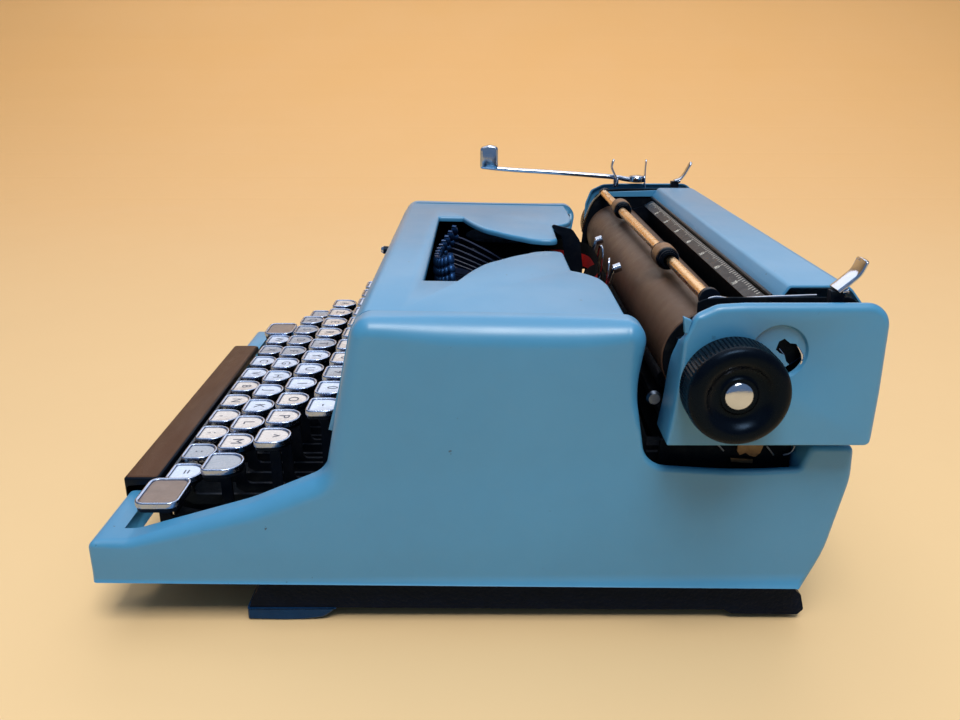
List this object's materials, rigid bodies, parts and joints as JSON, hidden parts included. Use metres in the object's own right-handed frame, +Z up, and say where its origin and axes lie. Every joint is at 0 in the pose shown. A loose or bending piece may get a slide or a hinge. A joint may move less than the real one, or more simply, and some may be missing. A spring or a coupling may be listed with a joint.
{
  "type": "portable manual typewriter",
  "caption": "Portable manual typewriter with sloping keyboard, blue enamelled sheet body, sliding carriage, rubber platen and chrome levers.",
  "frame": {"origin": "middle of the footprint on the table", "axes": "+X to the typist's right along the platen, +Y away from the typist, +Z up"},
  "size_m": [0.304, 0.28, 0.154],
  "materials": {
    "enamel": "gloss light blue enamel with small chips",
    "black_steel": "satin black paint",
    "foot_rubber": "worn matt rubber",
    "platen_rubber": "matt hard rubber",
    "roller_rubber": "brown rubber with black ends",
    "black_plastic": "glossy moulded plastic",
    "brown_plastic": "brown moulded plastic",
    "key_top": "pale key faces in bright metal rings on black levers",
    "chrome": "bright plated steel"
  },
  "bodies": {
    "chassis": {"base_pan": "black_steel", "front_foot_left": "foot_rubber", "front_foot_right": "foot_rubber", "body_shell": "enamel", "ribbon_cover": "enamel", "main_frame": "black_steel", "typebar_bank": "black_steel", "card_guide": "black_steel"},
    "carriage": {"carriage_bed": "black_steel", "end_cover_right": "enamel", "end_cover_left": "enamel", "paper_table": "enamel"},
    "platen_assembly": {"platen": "platen_rubber", "knob_right": "black_plastic", "knob_left": "black_plastic"},
    "paper_bail": {"paper_bail": "chrome"},
    "bail_roller_left": {"bail_roller_left": "roller_rubber"},
    "bail_roller_right": {"bail_roller_right": "roller_rubber"},
    "return_lever": {"return_lever": "chrome"},
    "release_lever_right": {"release_lever_right": "chrome"},
    "release_lever_left": {"release_lever_left": "chrome"},
    "space_bar": {"space_bar": "brown_plastic"},
    "shift_keys": {"shift_left": "key_top", "shift_right": "key_top"},
    "number_row": {"number_row_keys": "key_top"},
    "typebar": {"typebar_center": "chrome"},
    "spool_left": {"ribbon_spool_left": "chrome"},
    "spool_right": {"ribbon_spool_right": "chrome"},
    "key_bottom_1": {"key_bottom_1": "key_top"},
    "key_bottom_2": {"key_bottom_2": "key_top"},
    "key_bottom_3": {"key_bottom_3": "key_top"},
    "key_bottom_4": {"key_bottom_4": "key_top"},
    "key_bottom_5": {"key_bottom_5": "key_top"},
    "key_bottom_6": {"key_bottom_6": "key_top"},
    "key_bottom_7": {"key_bottom_7": "key_top"},
    "key_bottom_8": {"key_bottom_8": "key_top"},
    "key_bottom_9": {"key_bottom_9": "key_top"},
    "key_bottom_10": {"key_bottom_10": "key_top"},
    "key_home_1": {"key_home_1": "key_top"},
    "key_home_2": {"key_home_2": "key_top"},
    "key_home_3": {"key_home_3": "key_top"},
    "key_home_4": {"key_home_4": "key_top"},
    "key_home_5": {"key_home_5": "key_top"},
    "key_home_6": {"key_home_6": "key_top"},
    "key_home_7": {"key_home_7": "key_top"},
    "key_home_8": {"key_home_8": "key_top"},
    "key_home_9": {"key_home_9": "key_top"},
    "key_home_10": {"key_home_10": "key_top"},
    "key_home_11": {"key_home_11": "key_top"},
    "key_top_1": {"key_top_1": "key_top"},
    "key_top_2": {"key_top_2": "key_top"},
    "key_top_3": {"key_top_3": "key_top"},
    "key_top_4": {"key_top_4": "key_top"},
    "key_top_5": {"key_top_5": "key_top"},
    "key_top_6": {"key_top_6": "key_top"},
    "key_top_7": {"key_top_7": "key_top"},
    "key_top_8": {"key_top_8": "key_top"},
    "key_top_9": {"key_top_9": "key_top"},
    "key_top_10": {"key_top_10": "key_top"},
    "key_top_11": {"key_top_11": "key_top"}
  },
  "joints": [
    {"name": "carriage_slide", "type": "slide", "parent": "chassis", "child": "carriage", "axis": [1, 0, 0], "range_m": [-0.105, 0.105]},
    {"name": "platen_turn", "type": "hinge", "parent": "carriage", "child": "platen_assembly", "pos_m": [0, 0.0875, 0.1045], "axis": [1, 0, 0], "continuous": true},
    {"name": "bail_lift", "type": "hinge", "parent": "carriage", "child": "paper_bail", "pos_m": [0, 0.12, 0.124], "axis": [-1, 0, 0], "range_deg": [0, 60]},
    {"name": "return_lever_swing", "type": "hinge", "parent": "carriage", "child": "return_lever", "pos_m": [-0.13, 0.102, 0.135], "axis": [0, 0, 1], "range_deg": [0, 30], "stiffness_Nm_per_rad": 0.06, "springref_deg": -17.19},
    {"name": "release_right_pull", "type": "hinge", "parent": "carriage", "child": "release_lever_right", "pos_m": [0.128, 0.122, 0.1348], "axis": [1, 0, 0], "range_deg": [0, 20], "stiffness_Nm_per_rad": 0.02, "springref_deg": -17.19},
    {"name": "release_left_pull", "type": "hinge", "parent": "carriage", "child": "release_lever_left", "pos_m": [-0.126, 0.122, 0.1348], "axis": [1, 0, 0], "range_deg": [0, 20], "stiffness_Nm_per_rad": 0.02, "springref_deg": -17.19},
    {"name": "space_bar_press", "type": "hinge", "parent": "chassis", "child": "space_bar", "pos_m": [0, -0.078, 0.0175], "axis": [1, 0, 0], "range_deg": [0, 6.5], "stiffness_Nm_per_rad": 0.5, "springref_deg": -11.46},
    {"name": "shift_press", "type": "hinge", "parent": "chassis", "child": "shift_keys", "pos_m": [0, 0.052, 0.033], "axis": [1, 0, 0], "range_deg": [0, 2.7], "stiffness_Nm_per_rad": 0.8, "springref_deg": -8.59},
    {"name": "number_row_press", "type": "hinge", "parent": "chassis", "child": "number_row", "pos_m": [0, 0.052, 0.033], "axis": [1, 0, 0], "range_deg": [0, 5.28], "stiffness_Nm_per_rad": 1.5, "springref_deg": -8.59},
    {"name": "key_home_6_press", "type": "hinge", "parent": "chassis", "child": "key_home_6", "pos_m": [0.00005, 0.052, 0.033], "axis": [1, 0, 0], "range_deg": [0, 3.9], "stiffness_Nm_per_rad": 0.5, "springref_deg": -8.59},
    {"name": "typebar_swing", "type": "hinge", "parent": "chassis", "child": "typebar", "pos_m": [0, 0.02497, 0.06492], "axis": [-1, 0, 0], "range_deg": [0, 88]},
    {"name": "spool_right_turn", "type": "hinge", "parent": "chassis", "child": "spool_right", "pos_m": [0.082, 0.022, 0.104], "axis": [0, 0, 1], "continuous": true},
    {"name": "spool_left_turn", "type": "hinge", "parent": "chassis", "child": "spool_left", "pos_m": [-0.082, 0.022, 0.104], "axis": [0, 0, 1], "continuous": true},
    {"name": "bail_roller_right_turn", "type": "hinge", "parent": "paper_bail", "child": "bail_roller_right", "pos_m": [0.057, 0.082, 0.128], "axis": [1, 0, 0], "continuous": true},
    {"name": "bail_roller_left_turn", "type": "hinge", "parent": "paper_bail", "child": "bail_roller_left", "pos_m": [-0.057, 0.082, 0.128], "axis": [1, 0, 0], "continuous": true},
    {"name": "key_bottom_1_press", "type": "hinge", "parent": "chassis", "child": "key_bottom_1", "pos_m": [-0.0857, 0.052, 0.033], "axis": [1, 0, 0], "range_deg": [0, 3.45], "stiffness_Nm_per_rad": 0.5, "springref_deg": -8.59},
    {"name": "key_bottom_2_press", "type": "hinge", "parent": "chassis", "child": "key_bottom_2", "pos_m": [-0.06665, 0.052, 0.033], "axis": [1, 0, 0], "range_deg": [0, 3.45], "stiffness_Nm_per_rad": 0.5, "springref_deg": -8.59},
    {"name": "key_bottom_3_press", "type": "hinge", "parent": "chassis", "child": "key_bottom_3", "pos_m": [-0.0476, 0.052, 0.033], "axis": [1, 0, 0], "range_deg": [0, 3.45], "stiffness_Nm_per_rad": 0.5, "springref_deg": -8.59},
    {"name": "key_bottom_4_press", "type": "hinge", "parent": "chassis", "child": "key_bottom_4", "pos_m": [-0.02855, 0.052, 0.033], "axis": [1, 0, 0], "range_deg": [0, 3.45], "stiffness_Nm_per_rad": 0.5, "springref_deg": -8.59},
    {"name": "key_bottom_5_press", "type": "hinge", "parent": "chassis", "child": "key_bottom_5", "pos_m": [-0.0095, 0.052, 0.033], "axis": [1, 0, 0], "range_deg": [0, 3.45], "stiffness_Nm_per_rad": 0.5, "springref_deg": -8.59},
    {"name": "key_bottom_6_press", "type": "hinge", "parent": "chassis", "child": "key_bottom_6", "pos_m": [0.00955, 0.052, 0.033], "axis": [1, 0, 0], "range_deg": [0, 3.45], "stiffness_Nm_per_rad": 0.5, "springref_deg": -8.59},
    {"name": "key_bottom_7_press", "type": "hinge", "parent": "chassis", "child": "key_bottom_7", "pos_m": [0.0286, 0.052, 0.033], "axis": [1, 0, 0], "range_deg": [0, 3.45], "stiffness_Nm_per_rad": 0.5, "springref_deg": -8.59},
    {"name": "key_bottom_8_press", "type": "hinge", "parent": "chassis", "child": "key_bottom_8", "pos_m": [0.04765, 0.052, 0.033], "axis": [1, 0, 0], "range_deg": [0, 3.45], "stiffness_Nm_per_rad": 0.5, "springref_deg": -8.59},
    {"name": "key_bottom_9_press", "type": "hinge", "parent": "chassis", "child": "key_bottom_9", "pos_m": [0.0667, 0.052, 0.033], "axis": [1, 0, 0], "range_deg": [0, 3.45], "stiffness_Nm_per_rad": 0.5, "springref_deg": -8.59},
    {"name": "key_bottom_10_press", "type": "hinge", "parent": "chassis", "child": "key_bottom_10", "pos_m": [0.08575, 0.052, 0.033], "axis": [1, 0, 0], "range_deg": [0, 3.45], "stiffness_Nm_per_rad": 0.5, "springref_deg": -8.59},
    {"name": "key_home_1_press", "type": "hinge", "parent": "chassis", "child": "key_home_1", "pos_m": [-0.0952, 0.052, 0.033], "axis": [1, 0, 0], "range_deg": [0, 3.9], "stiffness_Nm_per_rad": 0.5, "springref_deg": -8.59},
    {"name": "key_home_2_press", "type": "hinge", "parent": "chassis", "child": "key_home_2", "pos_m": [-0.07615, 0.052, 0.033], "axis": [1, 0, 0], "range_deg": [0, 3.9], "stiffness_Nm_per_rad": 0.5, "springref_deg": -8.59},
    {"name": "key_home_3_press", "type": "hinge", "parent": "chassis", "child": "key_home_3", "pos_m": [-0.0571, 0.052, 0.033], "axis": [1, 0, 0], "range_deg": [0, 3.9], "stiffness_Nm_per_rad": 0.5, "springref_deg": -8.59},
    {"name": "key_home_4_press", "type": "hinge", "parent": "chassis", "child": "key_home_4", "pos_m": [-0.03805, 0.052, 0.033], "axis": [1, 0, 0], "range_deg": [0, 3.9], "stiffness_Nm_per_rad": 0.5, "springref_deg": -8.59},
    {"name": "key_home_5_press", "type": "hinge", "parent": "chassis", "child": "key_home_5", "pos_m": [-0.019, 0.052, 0.033], "axis": [1, 0, 0], "range_deg": [0, 3.9], "stiffness_Nm_per_rad": 0.5, "springref_deg": -8.59},
    {"name": "key_home_7_press", "type": "hinge", "parent": "chassis", "child": "key_home_7", "pos_m": [0.0191, 0.052, 0.033], "axis": [1, 0, 0], "range_deg": [0, 3.9], "stiffness_Nm_per_rad": 0.5, "springref_deg": -8.59},
    {"name": "key_home_8_press", "type": "hinge", "parent": "chassis", "child": "key_home_8", "pos_m": [0.03815, 0.052, 0.033], "axis": [1, 0, 0], "range_deg": [0, 3.9], "stiffness_Nm_per_rad": 0.5, "springref_deg": -8.59},
    {"name": "key_home_9_press", "type": "hinge", "parent": "chassis", "child": "key_home_9", "pos_m": [0.0572, 0.052, 0.033], "axis": [1, 0, 0], "range_deg": [0, 3.9], "stiffness_Nm_per_rad": 0.5, "springref_deg": -8.59},
    {"name": "key_home_10_press", "type": "hinge", "parent": "chassis", "child": "key_home_10", "pos_m": [0.07625, 0.052, 0.033], "axis": [1, 0, 0], "range_deg": [0, 3.9], "stiffness_Nm_per_rad": 0.5, "springref_deg": -8.59},
    {"name": "key_home_11_press", "type": "hinge", "parent": "chassis", "child": "key_home_11", "pos_m": [0.0953, 0.052, 0.033], "axis": [1, 0, 0], "range_deg": [0, 3.9], "stiffness_Nm_per_rad": 0.5, "springref_deg": -8.59},
    {"name": "key_top_1_press", "type": "hinge", "parent": "chassis", "child": "key_top_1", "pos_m": [-0.1, 0.052, 0.033], "axis": [1, 0, 0], "range_deg": [0, 4.49], "stiffness_Nm_per_rad": 0.5, "springref_deg": -8.59},
    {"name": "key_top_2_press", "type": "hinge", "parent": "chassis", "child": "key_top_2", "pos_m": [-0.08095, 0.052, 0.033], "axis": [1, 0, 0], "range_deg": [0, 4.49], "stiffness_Nm_per_rad": 0.5, "springref_deg": -8.59},
    {"name": "key_top_3_press", "type": "hinge", "parent": "chassis", "child": "key_top_3", "pos_m": [-0.0619, 0.052, 0.033], "axis": [1, 0, 0], "range_deg": [0, 4.49], "stiffness_Nm_per_rad": 0.5, "springref_deg": -8.59},
    {"name": "key_top_4_press", "type": "hinge", "parent": "chassis", "child": "key_top_4", "pos_m": [-0.04285, 0.052, 0.033], "axis": [1, 0, 0], "range_deg": [0, 4.49], "stiffness_Nm_per_rad": 0.5, "springref_deg": -8.59},
    {"name": "key_top_5_press", "type": "hinge", "parent": "chassis", "child": "key_top_5", "pos_m": [-0.0238, 0.052, 0.033], "axis": [1, 0, 0], "range_deg": [0, 4.49], "stiffness_Nm_per_rad": 0.5, "springref_deg": -8.59},
    {"name": "key_top_6_press", "type": "hinge", "parent": "chassis", "child": "key_top_6", "pos_m": [-0.00475, 0.052, 0.033], "axis": [1, 0, 0], "range_deg": [0, 4.49], "stiffness_Nm_per_rad": 0.5, "springref_deg": -8.59},
    {"name": "key_top_7_press", "type": "hinge", "parent": "chassis", "child": "key_top_7", "pos_m": [0.0143, 0.052, 0.033], "axis": [1, 0, 0], "range_deg": [0, 4.49], "stiffness_Nm_per_rad": 0.5, "springref_deg": -8.59},
    {"name": "key_top_8_press", "type": "hinge", "parent": "chassis", "child": "key_top_8", "pos_m": [0.03335, 0.052, 0.033], "axis": [1, 0, 0], "range_deg": [0, 4.49], "stiffness_Nm_per_rad": 0.5, "springref_deg": -8.59},
    {"name": "key_top_9_press", "type": "hinge", "parent": "chassis", "child": "key_top_9", "pos_m": [0.0524, 0.052, 0.033], "axis": [1, 0, 0], "range_deg": [0, 4.49], "stiffness_Nm_per_rad": 0.5, "springref_deg": -8.59},
    {"name": "key_top_10_press", "type": "hinge", "parent": "chassis", "child": "key_top_10", "pos_m": [0.07145, 0.052, 0.033], "axis": [1, 0, 0], "range_deg": [0, 4.49], "stiffness_Nm_per_rad": 0.5, "springref_deg": -8.59},
    {"name": "key_top_11_press", "type": "hinge", "parent": "chassis", "child": "key_top_11", "pos_m": [0.0905, 0.052, 0.033], "axis": [1, 0, 0], "range_deg": [0, 4.49], "stiffness_Nm_per_rad": 0.5, "springref_deg": -8.59}
  ],
  "couplings": [
    {"joint": "typebar_swing", "follows": "key_home_6_press", "ratio": 22.451},
    {"joint": "spool_left_turn", "follows": "spool_right_turn", "ratio": 1}
  ]
}
